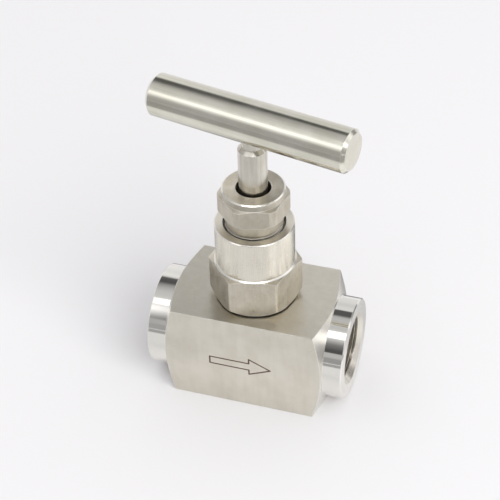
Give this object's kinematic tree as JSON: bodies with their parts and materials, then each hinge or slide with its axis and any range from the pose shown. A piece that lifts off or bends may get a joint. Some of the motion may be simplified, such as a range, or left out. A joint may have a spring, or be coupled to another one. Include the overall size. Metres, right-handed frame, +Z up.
{
  "type": "needle valve",
  "caption": "Straight bar-stock needle valve with female threaded ports, screwed bonnet, packed rising stem with a swivel needle, and a round T-bar handle.",
  "frame": {"origin": "middle of the underside of the square body, on the stem axis", "axes": "+Z up the stem, +X towards the outlet port along the ports' common axis, -Y towards the face with the flow arrow"},
  "size_m": [0.0624, 0.032, 0.0993],
  "materials": {
    "body_steel": "satin milled faces, polished bosses",
    "bonnet_steel": "fine turned and milled",
    "gland_steel": "fine turned and milled",
    "stem_steel": "ground",
    "needle_steel": "ground, hardened",
    "hard_steel": "polished",
    "handle_steel": "fine satin, drawn bar",
    "screw_steel": "as machined",
    "packing": "white fluoropolymer",
    "gasket": "dark graphite sheet"
  },
  "bodies": {
    "valve": {"valve_body": "body_steel", "bonnet": "bonnet_steel", "bonnet_gasket": "gasket", "packing_washer": "hard_steel", "packing_bottom_adapter": "packing", "v_ring_lower": "packing", "v_ring_middle": "packing", "v_ring_upper": "packing", "packing_top_adapter": "packing", "gland_follower": "bonnet_steel", "gland_nut": "gland_steel"},
    "needle": {"needle": "needle_steel"},
    "spindle": {"stem": "stem_steel", "thrust_ball": "hard_steel", "needle_ring": "hard_steel", "handle_bar": "handle_steel", "handle_set_screw": "screw_steel"}
  },
  "joints": [
    {"name": "needle_lift", "type": "slide", "parent": "valve", "child": "needle", "axis": [0, 0, 1], "range_m": [0, 0.005]},
    {"name": "handle_turn", "type": "hinge", "parent": "needle", "child": "spindle", "pos_m": [0, 0, 0.0931], "axis": [0, 0, 1], "range_deg": [0, 1200]}
  ],
  "couplings": [
    {"joint": "handle_turn", "follows": "needle_lift", "rad_per_m": 4188.8}
  ]
}
